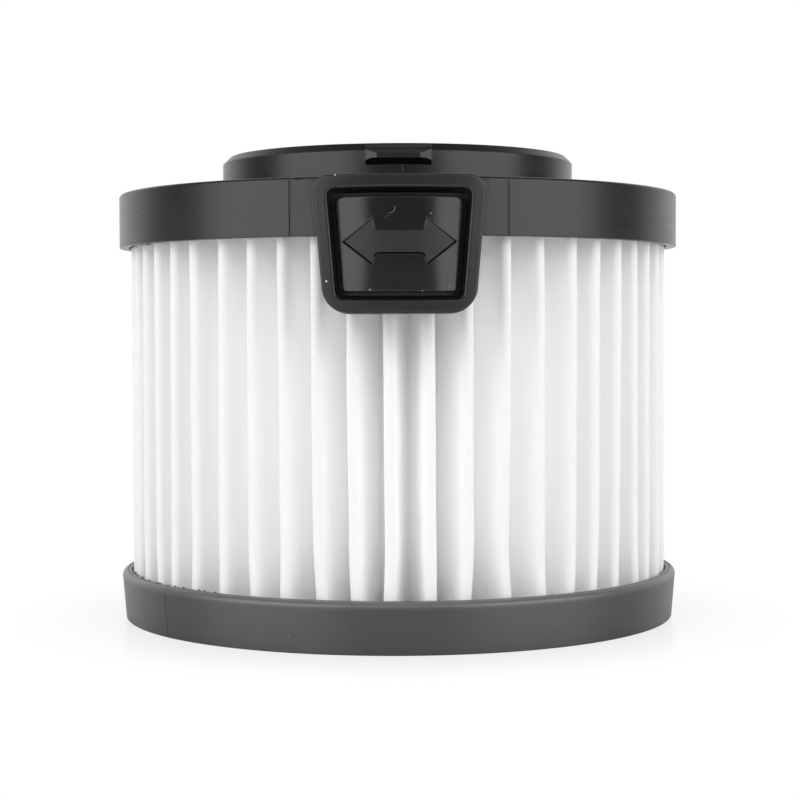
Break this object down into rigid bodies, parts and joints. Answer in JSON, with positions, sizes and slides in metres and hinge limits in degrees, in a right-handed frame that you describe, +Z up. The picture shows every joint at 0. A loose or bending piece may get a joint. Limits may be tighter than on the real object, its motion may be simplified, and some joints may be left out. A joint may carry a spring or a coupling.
{
  "type": "vacuum filter",
  "caption": "Pleated cartridge filter for a bagless vacuum cleaner: black end caps, an open neck with bayonet lugs and a front grip tab with a raised double arrow.",
  "frame": {"origin": "centre of the flat face that the filter stands on, on the axis of the filter", "axes": "+Z up along the axis of the filter, out of the neck; -Y towards the grip tab; +X to the right as seen from the front"},
  "size_m": [0.116, 0.1233, 0.0952],
  "materials": {
    "cap_plastic": "fine satin moulded black",
    "foot_plastic": "soft dark grey moulding",
    "media": "white felted filter sheet",
    "cage_plastic": "plain moulded black",
    "glue": "cured cream sealing glue"
  },
  "bodies": {
    "root": {"top_cap": "cap_plastic", "bottom_cap": "foot_plastic", "pleated_media": "media", "support_cage": "cage_plastic", "top_glue": "glue", "bottom_glue": "glue"}
  },
  "joints": []
}
